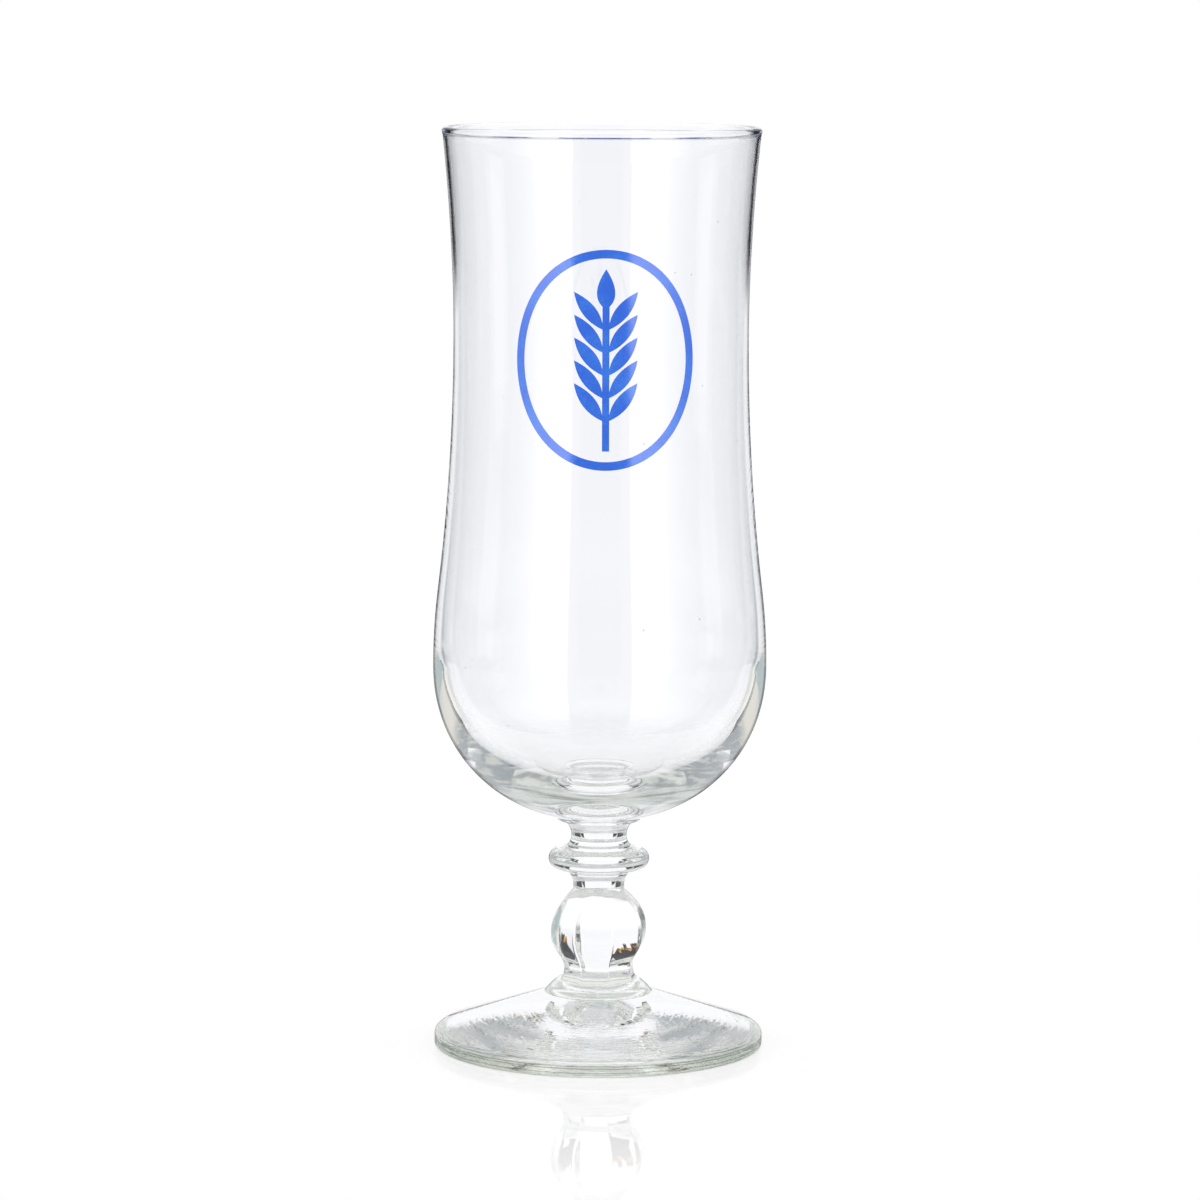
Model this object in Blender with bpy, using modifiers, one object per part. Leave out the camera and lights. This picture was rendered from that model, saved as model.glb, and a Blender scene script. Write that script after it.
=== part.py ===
"""Stemmed beer glass: a tulip bowl on a collared, faceted stem and a sloping foot.

Every glass piece is turned about the Z axis and stands on the piece below it, with a fused joint between.
The origin is the centre of the foot's resting plane, +Z points up and the print faces -Y. Units are metres.
"""

import math

import bmesh
import bpy

MM = 0.001

# Joints: the pieces are fused hot, and their solids stand this far apart
JOINT_GAP = 0.3 * MM

# Foot: a sloping disc that rests on a flat ring round a hollow that follows the slope
FOOT_RADIUS = 33.7 * MM
FOOT_HEIGHT = 10.75 * MM
FOOT_SHOULDER_INSET = 1.5 * MM
FOOT_SHOULDER_HEIGHT = 3.6 * MM
FOOT_EDGE_HEIGHT = 2.2 * MM
FOOT_EDGE_ROUNDING = 0.5 * MM
FOOT_RESTING_WIDTH = 3.2 * MM
FOOT_HOLLOW_DEPTH = 5.4 * MM
FOOT_HOLLOW_ROUND = 0.25

# Boss: the low round skirt under the knop
BOSS_RADIUS = 11.0 * MM
BOSS_FACE_RADIUS = 8.5 * MM
BOSS_SHOULDER_RADIUS = 10.0 * MM
BOSS_SHOULDER_RISE = 1.1 * MM
BOSS_HEIGHT = 2.2 * MM

# Knop: the eight-sided swelling of the stem, measured across its corners
KNOP_FACETS = 8
KNOP_TURN = math.radians(15.5)
KNOP_HEIGHT = 18.35 * MM
KNOP_RADIUS = 10.1 * MM
KNOP_WIDEST_RISE = 10.15 * MM
KNOP_WAIST_RADIUS = 7.3 * MM
KNOP_WAIST_RISE = 2.65 * MM
KNOP_BASE_INSET = 0.2 * MM
KNOP_SHOULDER_FULLNESS = 2.2
KNOP_TAPER_LAG = 1.35

# Lower neck, collar and upper neck: the round stretches of the stem above the knop
LOWER_NECK_RADIUS = 5.2 * MM
LOWER_NECK_HEIGHT = 4.15 * MM
LOWER_NECK_SHAFT = 0.9 * MM
COLLAR_RADIUS = 10.3 * MM
COLLAR_EDGE_DEPTH = 2.2 * MM
COLLAR_HEIGHT = 3.85 * MM
UPPER_NECK_RADIUS = 5.65 * MM
UPPER_NECK_HEIGHT = 6.2 * MM
UPPER_NECK_WAIST_RISE = 2.5 * MM
UPPER_NECK_LIP = 0.5 * MM

# Bowl: its outer curve by seat, belly, waist and rim, and the walls inside that curve
BOWL_HEIGHT = 140.7 * MM
BOWL_SEAT_RADIUS = 8.4 * MM
BELLY_RADIUS = 34.0 * MM
BELLY_RISE = 31.4 * MM
BELLY_FULLNESS = 2.1
WAIST_RADIUS = 29.9 * MM
WAIST_DROP = 42.0 * MM
WAIST_TO_BELLY_TURN = 0.77
RIM_RADIUS = 32.3 * MM
RIM_FLARE = 1.9
RIM_BEAD_RADIUS = 0.85 * MM
RIM_BEAD_WRAP = math.radians(20)
WALL = 0.75 * MM
BELLY_WALL = 2.0 * MM
BELLY_WALL_ONSET = 1.3
BASE_THICKNESS = 6.4 * MM
HOLLOW_LIFT = 5.0 * MM
HOLLOW_FULLNESS = 2.3

# Print: a fired enamel film on the bowl's front, an oval band round a barley ear
PRINT_DROP = 44.9 * MM
PRINT_TURN = math.radians(1.8)
PRINT_THICKNESS = 0.15 * MM
PRINT_CLEARANCE = 0.15 * MM
OVAL_WIDTH = 37.0 * MM
OVAL_HEIGHT = 43.5 * MM
OVAL_BAND = 1.7 * MM
STALK_WIDTH = 1.4 * MM
STALK_LENGTH = 6.0 * MM
GRAIN_PAIRS = 5
GRAIN_PITCH = 4.5 * MM
GRAIN_REACH = 5.6 * MM
GRAIN_RISE = 7.4 * MM
GRAIN_SWELL = 2.5 * MM
GRAIN_ROOT = 1.2 * MM
TOP_GRAIN_LENGTH = 7.4 * MM

# Smoothness of the turned and wrapped shapes
ROUND_STEPS = 48
STEM_STEPS = 32
WALL_STEPS = 12
CURVE_STEPS = 4
FILM_FACET = 3.0 * MM
SHARP_ANGLE = math.radians(40)
WELD = 0.001 * MM

# Faces and heights that follow from the sizes above
COLLAR_FACE_RADIUS = COLLAR_RADIUS - COLLAR_EDGE_DEPTH
BOSS_Z = FOOT_HEIGHT + JOINT_GAP
KNOP_Z = BOSS_Z + BOSS_HEIGHT + JOINT_GAP
LOWER_NECK_Z = KNOP_Z + KNOP_HEIGHT + JOINT_GAP
COLLAR_Z = LOWER_NECK_Z + LOWER_NECK_HEIGHT + JOINT_GAP
UPPER_NECK_Z = COLLAR_Z + COLLAR_HEIGHT + JOINT_GAP
BOWL_Z = UPPER_NECK_Z + UPPER_NECK_HEIGHT + JOINT_GAP
RIM_Z = BOWL_Z + BOWL_HEIGHT
BELLY_Z = BOWL_Z + BELLY_RISE
WAIST_Z = RIM_Z - WAIST_DROP
PRINT_Z = RIM_Z - PRINT_DROP

CLEAR_GLASS = (0.93, 0.97, 0.955)
STEM_GLASS = (0.92, 0.955, 0.945)
FOOT_GLASS = (0.86, 0.91, 0.87)
ENAMEL_BLUE = (0.02, 0.13, 0.72)


def clear_scene():
    for obj in list(bpy.data.objects):
        bpy.data.objects.remove(obj, do_unlink=True)


def new_collection(name):
    collection = bpy.data.collections.new(name)
    bpy.context.scene.collection.children.link(collection)
    return collection


def make_material(name, colour, roughness, transmission):
    material = bpy.data.materials.new(name)
    material.use_nodes = True
    shader = material.node_tree.nodes["Principled BSDF"]
    shader.inputs["Base Color"].default_value = (*colour, 1.0)
    shader.inputs["Roughness"].default_value = roughness
    shader.inputs["Metallic"].default_value = 0.0
    shader.inputs["Transmission Weight"].default_value = transmission
    return material


def steps_between(start, end, count):
    """Even steps from start to end, both included."""
    return [start + (end - start) * i / count for i in range(count + 1)]


def level_ease(t):
    """0 to 1 with a level start and end."""
    return t * t * (3 - 2 * t)


def cove(narrow, wide):
    """Hollow quarter curve from an upright narrow end to a level wide end, as (radius, height) points."""
    points = []
    for angle in steps_between(0, math.pi / 2, CURVE_STEPS):
        radius = wide[0] - (wide[0] - narrow[0]) * math.cos(angle)
        height = narrow[1] + (wide[1] - narrow[1]) * math.sin(angle)
        points.append((radius, height))
    return points


def round_nose(face_radius, outer_radius, low, high):
    """Rounded rim of a disc, from its upper face down to its lower face."""
    middle = (low + high) / 2
    points = []
    for angle in steps_between(math.pi / 2, -math.pi / 2, 2 * CURVE_STEPS):
        radius = face_radius + (outer_radius - face_radius) * math.cos(angle)
        points.append((radius, middle + (high - low) / 2 * math.sin(angle)))
    return points


def full_curve(wide, depth, fullness, last_angle):
    """Rounded bottom from (wide, 0) towards (0, -depth), up to last_angle of its quarter turn."""
    points = []
    for angle in steps_between(0, last_angle, 2 * CURVE_STEPS):
        radius = wide * math.cos(angle) ** (2 / fullness)
        points.append((radius, -depth * math.sin(angle) ** (2 / fullness)))
    return points


def bowl_radius(z):
    """Outer radius of the bowl above its belly."""
    if z >= WAIST_Z:
        flare = (z - WAIST_Z) / (RIM_Z - WAIST_Z)
        return WAIST_RADIUS + (RIM_RADIUS - WAIST_RADIUS) * flare**RIM_FLARE
    fall = (WAIST_Z - z) / (WAIST_Z - BELLY_Z)
    if fall < WAIST_TO_BELLY_TURN:
        swell = fall**2 / WAIST_TO_BELLY_TURN
    else:
        swell = 1 - (1 - fall) ** 2 / (1 - WAIST_TO_BELLY_TURN)
    return WAIST_RADIUS + (BELLY_RADIUS - WAIST_RADIUS) * swell


def inner_radius(z):
    """Inner radius of the bowl above its belly, where the wall grows from the waist down."""
    fall = max(0.0, (WAIST_Z - z) / (WAIST_Z - BELLY_Z))
    return bowl_radius(z) - WALL - (BELLY_WALL - WALL) * fall**BELLY_WALL_ONSET


def bowl_outline():
    """From the centre of the inner base, up inside, over the rim bead, down outside, to the seat's centre."""
    wall_top = RIM_Z - 2 * RIM_BEAD_RADIUS
    hollow_z = BELLY_Z + HOLLOW_LIFT
    hollow_depth = BELLY_RISE + HOLLOW_LIFT - BASE_THICKNESS
    hollow = full_curve(1.0, hollow_depth, HOLLOW_FULLNESS, math.pi / 2)
    inside = [(0.0, hollow_z - hollow_depth)]
    for share, drop in reversed(hollow[:-1]):
        inside.append((share * inner_radius(max(hollow_z + drop, BELLY_Z)), hollow_z + drop))
    inner_heights = steps_between(hollow_z, wall_top, WALL_STEPS)
    inside += [(inner_radius(z), z) for z in inner_heights[1:]]

    bead = []
    for angle in steps_between(math.pi + RIM_BEAD_WRAP, -RIM_BEAD_WRAP, 2 * CURVE_STEPS):
        radius = RIM_RADIUS - RIM_BEAD_RADIUS * (1 - math.cos(angle))
        bead.append((radius, RIM_Z - RIM_BEAD_RADIUS * (1 - math.sin(angle))))

    outer_heights = steps_between(wall_top, BELLY_Z, WALL_STEPS)
    outside = [(bowl_radius(z), z) for z in outer_heights[:-1]]
    seat_share = BOWL_SEAT_RADIUS / BELLY_RADIUS
    depth = BELLY_RISE / (1 - seat_share**BELLY_FULLNESS) ** (1 / BELLY_FULLNESS)
    seat_angle = math.acos(seat_share ** (BELLY_FULLNESS / 2))
    underside = full_curve(BELLY_RADIUS, depth, BELLY_FULLNESS, seat_angle)
    outside += [(radius, BELLY_Z + drop) for radius, drop in underside[:-1]]
    return [*inside, *bead, *outside, (BOWL_SEAT_RADIUS, BOWL_Z), (0.0, BOWL_Z)]


def upper_neck_outline():
    top = UPPER_NECK_Z + UPPER_NECK_HEIGHT
    waist = (UPPER_NECK_RADIUS, UPPER_NECK_Z + UPPER_NECK_WAIST_RISE)
    lip = cove(waist, (BOWL_SEAT_RADIUS, top - UPPER_NECK_LIP))
    flare = cove(waist, (COLLAR_FACE_RADIUS, UPPER_NECK_Z))
    return [(0.0, top), (BOWL_SEAT_RADIUS, top), *reversed(lip), *flare[1:], (0.0, UPPER_NECK_Z)]


def collar_outline():
    top = COLLAR_Z + COLLAR_HEIGHT
    nose = round_nose(COLLAR_FACE_RADIUS, COLLAR_RADIUS, COLLAR_Z, top)
    return [(0.0, top), *nose, (0.0, COLLAR_Z)]


def lower_neck_outline():
    top = LOWER_NECK_Z + LOWER_NECK_HEIGHT
    flare = cove((LOWER_NECK_RADIUS, LOWER_NECK_Z + LOWER_NECK_SHAFT), (COLLAR_FACE_RADIUS, top))
    return [(0.0, top), *reversed(flare), (LOWER_NECK_RADIUS, LOWER_NECK_Z), (0.0, LOWER_NECK_Z)]


def knop_outline():
    """Down one corner of the knop: shoulder, widest point, waist and flared base."""
    top = KNOP_Z + KNOP_HEIGHT
    widest = KNOP_Z + KNOP_WIDEST_RISE
    waist = KNOP_Z + KNOP_WAIST_RISE
    shoulder = []
    for t in steps_between(1, 0, 2 * CURVE_STEPS):
        drawn_in = (KNOP_RADIUS - LOWER_NECK_RADIUS) * t**KNOP_SHOULDER_FULLNESS
        shoulder.append((KNOP_RADIUS - drawn_in, widest + (top - widest) * t))
    taper = []
    for t in steps_between(0, 1, 2 * CURVE_STEPS):
        drawn_in = (KNOP_RADIUS - KNOP_WAIST_RADIUS) * level_ease(t**KNOP_TAPER_LAG)
        taper.append((KNOP_RADIUS - drawn_in, widest + (waist - widest) * t))
    flare = cove((KNOP_WAIST_RADIUS, waist), (BOSS_FACE_RADIUS - KNOP_BASE_INSET, KNOP_Z))
    return [(0.0, top), *shoulder, *taper[1:], *flare[1:], (0.0, KNOP_Z)]


def boss_outline():
    """Flat top, steep skirt in two slopes, and flat bottom."""
    top = BOSS_Z + BOSS_HEIGHT
    shoulder = (BOSS_SHOULDER_RADIUS, BOSS_Z + BOSS_SHOULDER_RISE)
    return [(0.0, top), (BOSS_FACE_RADIUS, top), shoulder, (BOSS_RADIUS, BOSS_Z), (0.0, BOSS_Z)]


def foot_outline():
    """Flat seat, straight slope, rounded shoulder and edge, resting ring, and the hollow under the middle."""
    shoulder_radius = FOOT_RADIUS - FOOT_SHOULDER_INSET
    slope = (FOOT_HEIGHT - FOOT_SHOULDER_HEIGHT) / (shoulder_radius - BOSS_RADIUS)
    edge = []
    for angle in steps_between(0, math.pi / 2, CURVE_STEPS):
        out = FOOT_SHOULDER_INSET * math.sin(angle)
        fall = (FOOT_SHOULDER_HEIGHT - FOOT_EDGE_HEIGHT) * (1 - math.cos(angle))
        lean = slope * out * (1 - math.sin(angle))
        edge.append((shoulder_radius + out, FOOT_SHOULDER_HEIGHT - fall - lean))
    hollow_radius = FOOT_RADIUS - FOOT_RESTING_WIDTH
    hollow = []
    full_fall = math.hypot(1, FOOT_HOLLOW_ROUND) - FOOT_HOLLOW_ROUND
    for t in steps_between(1, 0, 2 * CURVE_STEPS):
        fall = math.hypot(t, FOOT_HOLLOW_ROUND) - FOOT_HOLLOW_ROUND
        hollow.append((hollow_radius * t, FOOT_HOLLOW_DEPTH * (1 - fall / full_fall)))
    seat = [(0.0, FOOT_HEIGHT), (BOSS_RADIUS, FOOT_HEIGHT)]
    return [*seat, *edge, (FOOT_RADIUS - FOOT_EDGE_ROUNDING, 0.0), *hollow]


def oval(width, height):
    turn = steps_between(0, 2 * math.pi, ROUND_STEPS)[:-1]
    return [(width / 2 * math.cos(a), height / 2 * math.sin(a)) for a in turn]


def bent_edge(start, pull, end):
    """Points from start towards end, drawn towards pull, without the end itself."""
    points = []
    for t in steps_between(0, 1, CURVE_STEPS)[:-1]:
        shares = ((1 - t) ** 2, 2 * t * (1 - t), t**2)
        corners = zip(shares, (start, pull, end))
        points.append(tuple(sum(axis) for axis in zip(*((s * x, s * y) for s, (x, y) in corners))))
    return points


def ear_outline():
    """Barley ear: a stalk, pairs of almond-shaped grains that lean out and up, and one grain at the top."""
    edge = STALK_WIDTH / 2
    low = -(STALK_LENGTH + GRAIN_PAIRS * GRAIN_PITCH + TOP_GRAIN_LENGTH) / 2
    length = math.hypot(GRAIN_REACH, GRAIN_RISE)
    swell_out = GRAIN_SWELL * GRAIN_RISE / length
    swell_down = GRAIN_SWELL * GRAIN_REACH / length
    right = [(edge, low)]
    for pair in range(GRAIN_PAIRS):
        start = low + STALK_LENGTH + pair * GRAIN_PITCH
        tip = (edge + GRAIN_REACH, start + GRAIN_RISE)
        middle = (edge + GRAIN_REACH / 2, start + GRAIN_RISE / 2)
        under_pull = (middle[0] + swell_out, middle[1] - swell_down)
        upper_pull = (middle[0] - swell_out, middle[1] + swell_down)
        right += bent_edge((edge, start), under_pull, tip)
        right += bent_edge(tip, upper_pull, (edge, start + GRAIN_ROOT))
        right.append((edge, start + GRAIN_ROOT))
    neck = low + STALK_LENGTH + GRAIN_PAIRS * GRAIN_PITCH
    top = (0.0, neck + TOP_GRAIN_LENGTH)
    right += bent_edge((edge, neck), (edge + GRAIN_SWELL, neck + TOP_GRAIN_LENGTH / 3), top)
    left = [(-across, up) for across, up in reversed(right)]
    return [*right, top, *left]


def keep_shape(obj, material):
    """Keep the evaluated shape as the object's mesh, smooth between its sharp edges, with one material."""
    graph = bpy.context.evaluated_depsgraph_get()
    mesh = bpy.data.meshes.new_from_object(obj.evaluated_get(graph))
    mesh.name = obj.name
    obj.modifiers.clear()
    obj.data = mesh
    mesh.shade_smooth()
    mesh.set_sharp_from_angle(angle=SHARP_ANGLE)
    mesh.materials.clear()
    mesh.materials.append(material)


def add_turned(parts, name, outline, steps, material, turn=0.0):
    """Add a solid of revolution about Z from an outline of (radius, height) points."""
    mesh = bpy.data.meshes.new(name)
    links = [(i, i + 1) for i in range(len(outline) - 1)]
    mesh.from_pydata([(radius, 0.0, z) for radius, z in outline], links, [])
    obj = bpy.data.objects.new(name, mesh)
    parts.objects.link(obj)
    obj.rotation_euler.z = turn
    screw = obj.modifiers.new("Turn", "SCREW")
    screw.steps = steps
    screw.render_steps = steps
    screw.use_merge_vertices = True
    screw.merge_threshold = WELD
    keep_shape(obj, material)


def flat_film(parts, name, outlines):
    """A mesh of flat outlines, filled and given the film's thickness."""
    flat = bpy.data.curves.new(name, "CURVE")
    flat.dimensions = "2D"
    flat.fill_mode = "BOTH"
    flat.extrude = PRINT_THICKNESS / 2
    for outline in outlines:
        spline = flat.splines.new("POLY")
        spline.points.add(len(outline) - 1)
        spline.use_cyclic_u = True
        for point, (across, up) in zip(spline.points, outline):
            point.co = (across, up, 0.0, 1.0)
    drawing = bpy.data.objects.new(name + "_flat", flat)
    parts.objects.link(drawing)
    graph = bpy.context.evaluated_depsgraph_get()
    mesh = bpy.data.meshes.new_from_object(drawing.evaluated_get(graph))
    bpy.data.objects.remove(drawing)
    return mesh


def cut_in_facets(film):
    """Cut a flat film along evenly spaced lines both ways, so that it can bend."""
    for axis, reach in ((0, OVAL_WIDTH / 2), (1, OVAL_HEIGHT / 2)):
        cuts = int(reach / FILM_FACET)
        for cut in range(-cuts, cuts + 1):
            place = [0.0, 0.0, 0.0]
            facing = [0.0, 0.0, 0.0]
            place[axis] = cut * FILM_FACET
            facing[axis] = 1.0
            everything = [*film.verts, *film.edges, *film.faces]
            bmesh.ops.bisect_plane(film, geom=everything, dist=WELD, plane_co=place, plane_no=facing)


def add_wrapped_film(parts, name, outlines, material):
    """Add a film of flat outlines, wrapped on the bowl's front."""
    mesh = flat_film(parts, name, outlines)
    film = bmesh.new()
    film.from_mesh(mesh)
    bmesh.ops.remove_doubles(film, verts=film.verts, dist=WELD)
    cut_in_facets(film)
    for vert in film.verts:
        across, up, proud = vert.co
        z = PRINT_Z + up
        radius = bowl_radius(z) + PRINT_CLEARANCE + PRINT_THICKNESS / 2 + proud
        angle = PRINT_TURN - math.pi / 2 + across / bowl_radius(PRINT_Z)
        vert.co = (radius * math.cos(angle), radius * math.sin(angle), z)
    bmesh.ops.triangulate(film, faces=film.faces)
    film.to_mesh(mesh)
    film.free()
    obj = bpy.data.objects.new(name, mesh)
    parts.objects.link(obj)
    keep_shape(obj, material)


def build():
    clear_scene()
    parts = new_collection("stemmed_beer_glass")
    clear_glass = make_material("clear_glass", CLEAR_GLASS, 0.02, 1.0)
    stem_glass = make_material("stem_glass", STEM_GLASS, 0.03, 1.0)
    foot_glass = make_material("foot_glass", FOOT_GLASS, 0.04, 1.0)
    enamel = make_material("blue_enamel", ENAMEL_BLUE, 0.3, 0.0)

    add_turned(parts, "foot", foot_outline(), ROUND_STEPS, foot_glass)
    add_turned(parts, "foot_boss", boss_outline(), STEM_STEPS, stem_glass)
    add_turned(parts, "faceted_knop", knop_outline(), KNOP_FACETS, stem_glass, KNOP_TURN)
    add_turned(parts, "lower_neck", lower_neck_outline(), STEM_STEPS, stem_glass)
    add_turned(parts, "collar_ring", collar_outline(), STEM_STEPS, stem_glass)
    add_turned(parts, "upper_neck", upper_neck_outline(), STEM_STEPS, stem_glass)
    add_turned(parts, "bowl", bowl_outline(), ROUND_STEPS, clear_glass)

    outer_oval = oval(OVAL_WIDTH, OVAL_HEIGHT)
    inner_oval = oval(OVAL_WIDTH - 2 * OVAL_BAND, OVAL_HEIGHT - 2 * OVAL_BAND)
    add_wrapped_film(parts, "enamel_band", [outer_oval, inner_oval], enamel)
    add_wrapped_film(parts, "enamel_ear", [ear_outline()], enamel)


build()
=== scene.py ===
import math

import bpy
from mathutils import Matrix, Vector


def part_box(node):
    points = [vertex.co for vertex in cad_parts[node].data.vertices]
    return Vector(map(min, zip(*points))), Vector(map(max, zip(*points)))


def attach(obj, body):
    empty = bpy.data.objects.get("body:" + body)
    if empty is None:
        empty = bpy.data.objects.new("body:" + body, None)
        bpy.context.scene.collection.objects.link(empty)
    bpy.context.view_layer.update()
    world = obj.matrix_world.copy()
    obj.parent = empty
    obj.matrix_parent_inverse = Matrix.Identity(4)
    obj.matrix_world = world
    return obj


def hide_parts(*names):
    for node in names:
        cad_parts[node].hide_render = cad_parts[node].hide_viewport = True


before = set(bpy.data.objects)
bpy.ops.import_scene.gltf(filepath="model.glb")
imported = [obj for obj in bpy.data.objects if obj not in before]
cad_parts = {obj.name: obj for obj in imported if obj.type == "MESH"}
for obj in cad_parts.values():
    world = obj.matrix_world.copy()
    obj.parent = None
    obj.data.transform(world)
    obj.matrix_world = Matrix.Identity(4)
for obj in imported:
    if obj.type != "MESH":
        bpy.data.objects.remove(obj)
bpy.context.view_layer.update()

# Camera: it stands a metre in front of the print, a little above the rim, and looks slightly down.
# The long lens keeps the upright sides of the glass nearly parallel, and it is turned a hair out of plumb.
CAMERA_PLACE = (0.0, -1.0, 0.218)
CAMERA_LOOKS_DOWN = math.radians(7.19)
CAMERA_ROLL = math.radians(0.25)
CAMERA_LENS = 148.3
CAMERA_SENSOR = 36.0

bpy.ops.object.camera_add(location=CAMERA_PLACE)
camera = bpy.context.object
camera.rotation_mode = "ZXY"
camera.rotation_euler = (math.pi / 2 - CAMERA_LOOKS_DOWN, 0.0, CAMERA_ROLL)
camera.data.lens = CAMERA_LENS
camera.data.sensor_width = CAMERA_SENSOR
bpy.context.scene.camera = camera

# Foot: the sloping round foot of pressed soda-lime glass, greenish where one looks along it.
# It was pressed in a mould and spun flat, which left fine rings, and it is fused to the boss.
MM = 0.001
FOOT_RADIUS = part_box("foot")[1][0]
FOOT_TOP = (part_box("foot")[1][2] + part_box("foot_boss")[0][2]) / 2
BOSS_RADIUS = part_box("foot_boss")[1][0]
FOOT_SHOULDER_INSET = 1.5 * MM
FOOT_SHOULDER_HEIGHT = 3.6 * MM
FOOT_EDGE_HEIGHT = 2.2 * MM
FOOT_EDGE_ROUNDING = 0.5 * MM
FOOT_RESTING_WIDTH = 3.2 * MM
FOOT_HOLLOW_DEPTH = 5.4 * MM
FOOT_HOLLOW_ROUND = 0.25
FOOT_RINGS = ((0.003 * MM, 1.1 * MM), (0.002 * MM, 0.7 * MM))
FOOT_RINGS_EASE = 3.0 * MM
FOOT_SLOPE_STEPS = 200
FOOT_SHOULDER_STEPS = 16
FOOT_ROUNDING_STEPS = 8
FOOT_RESTING_STEPS = 6
FOOT_HOLLOW_STEPS = 60
FOOT_TINT = (0.985, 0.99, 0.985)
FOOT_WAVES = (0.003 * MM, 300.0)
FOOT_EDGE_TINT = (0.82, 0.86, 0.76)
FOOT_EDGE_BAND = 1.0 * MM
FOOT_EDGE_SOFT = 0.15 * MM
BELOW_FOOT = -1.0 * MM
# The thin dark lines round the foot's edge are painted shade, laid into the glass's colour.
FOOT_PAINTED_SHADE_LINES = (2.2 * MM, 1.7 * MM, 0.8 * MM)
FOOT_SHADE_LINE_WIDTH = 0.12 * MM
FOOT_PAINTED_LINE_SHADE = (0.3, 0.33, 0.27)
FOOT_STREAKS = 0.02 * MM
STREAK_GRID = (650.0, 3.0)
STREAK_ENDS = (FOOT_RADIUS - 1.2 * MM, FOOT_RADIUS - 2.5 * MM)
GLASS_IOR = 1.5
ZONE_WANDER = 0.25 * MM
SEED_SCALE = 110.0
SEED_SIZE = 0.028
SEED_GREY = (0.4, 0.4, 0.42, 1.0)
ROUND_STEPS = 160
SEAM = 0.005 * MM
SHARP_ANGLE = math.radians(32)
WELD = 0.001 * MM


def steps_between(start, end, count):
    """Even steps from start to end, both included."""
    return [start + (end - start) * i / count for i in range(count + 1)]


def level_ease(t):
    """0 to 1 with a level start and end."""
    return t * t * (3 - 2 * t)


def open_new_piece(name):
    """An object with an empty mesh, open for editing."""
    bpy.ops.object.select_all(action="DESELECT")
    bpy.ops.mesh.primitive_plane_add(size=MM, location=(0.0, 0.0, 0.0))
    piece = bpy.context.object
    piece.name = name
    piece.data.name = name
    bpy.ops.object.mode_set(mode="EDIT")
    bpy.ops.mesh.delete(type="VERT")
    return piece


def draw_outline(points):
    """Extrudes one point along an outline of (across, up) points, in the plane of the X and Z axes."""
    bpy.ops.mesh.select_all(action="DESELECT")
    bpy.ops.mesh.primitive_plane_add(size=MM, location=(0.0, 0.0, 0.0))
    bpy.ops.mesh.merge(type="CENTER")
    across, up = points[0]
    bpy.ops.transform.translate(value=(across, 0.0, up))
    for next_across, next_up in points[1:]:
        step = (next_across - across, 0.0, next_up - up)
        bpy.ops.mesh.extrude_region_move(TRANSFORM_OT_translate={"value": step})
        across, up = next_across, next_up


def turn_on_lathe(name, outline, steps):
    """An outline of (radius, height) points, spun round the Z axis."""
    piece = open_new_piece(name)
    draw_outline(outline)
    bpy.ops.mesh.select_all(action="SELECT")
    bpy.ops.mesh.spin(steps=steps, angle=2 * math.pi, center=(0.0, 0.0, 0.0), axis=(0.0, 0.0, 1.0))
    bpy.ops.mesh.select_all(action="SELECT")
    bpy.ops.mesh.remove_doubles(threshold=WELD)
    bpy.ops.mesh.normals_make_consistent(inside=False)
    bpy.ops.object.mode_set(mode="OBJECT")
    return piece


class Shade:
    """A shader socket. Sums and products of sockets add the Math nodes that work them out."""

    def __init__(self, tree, socket=None):
        self.tree = tree
        self.socket = socket

    def node(self, kind, settings, values, output=0):
        """Adds a node: first its settings, then the values or links of its sockets, by name or number."""
        node = self.tree.nodes.new(kind)
        for name, value in settings.items():
            setattr(node, name, value)
        for key, value in values.items():
            if isinstance(value, Shade):
                self.tree.links.new(value.socket, node.inputs[key])
            else:
                node.inputs[key].default_value = value
        return Shade(self.tree, node.outputs[output])

    def math(self, operation, *values):
        return self.node("ShaderNodeMath", {"operation": operation}, dict(enumerate(values)))

    def __add__(self, other):
        return self.math("ADD", self, other)

    def __radd__(self, other):
        return self.math("ADD", other, self)

    def __sub__(self, other):
        return self.math("SUBTRACT", self, other)

    def __rsub__(self, other):
        return self.math("SUBTRACT", other, self)

    def __mul__(self, other):
        return self.math("MULTIPLY", self, other)

    def __rmul__(self, other):
        return self.math("MULTIPLY", other, self)

    def between(self, low, high):
        """0 below low and 1 above high, eased. A low above high turns it round."""
        settings = {"interpolation_type": "SMOOTHSTEP"}
        limits = {"From Min": low, "From Max": high}
        return self.node("ShaderNodeMapRange", settings, {"Value": self, **limits})

    def mix(self, first, second):
        """From the first colour to the second as this value goes from 0 to 1."""
        colours = {"Factor": self, 6: first, 7: second}
        return self.node("ShaderNodeMix", {"data_type": "RGBA"}, colours, 2)

    def feeds(self, shader, name):
        """Links this value to a socket of a shader."""
        self.tree.links.new(self.socket, shader.inputs[name])


def new_finish(name):
    """A material, its shader, a start for its sums, and the place on the piece."""
    finish = bpy.data.materials.new(name)
    finish.use_nodes = True
    start = Shade(finish.node_tree)
    place = start.node("ShaderNodeTexCoord", {}, {}, "Object")
    return finish, finish.node_tree.nodes["Principled BSDF"], start, place


def split_axes(start, place):
    """The X, Y and Z parts of a place or a direction."""
    split = start.node("ShaderNodeSeparateXYZ", {}, {"Vector": place})
    return [Shade(start.tree, socket) for socket in split.socket.node.outputs]


def from_axis(start, place):
    """Distance from the axis that the glass is turned about."""
    flat = start.node("ShaderNodeVectorMath", {"operation": "MULTIPLY"}, {0: place, 1: (1.0, 1.0, 0.0)})
    return start.node("ShaderNodeVectorMath", {"operation": "LENGTH"}, {0: flat}, "Value")


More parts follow.
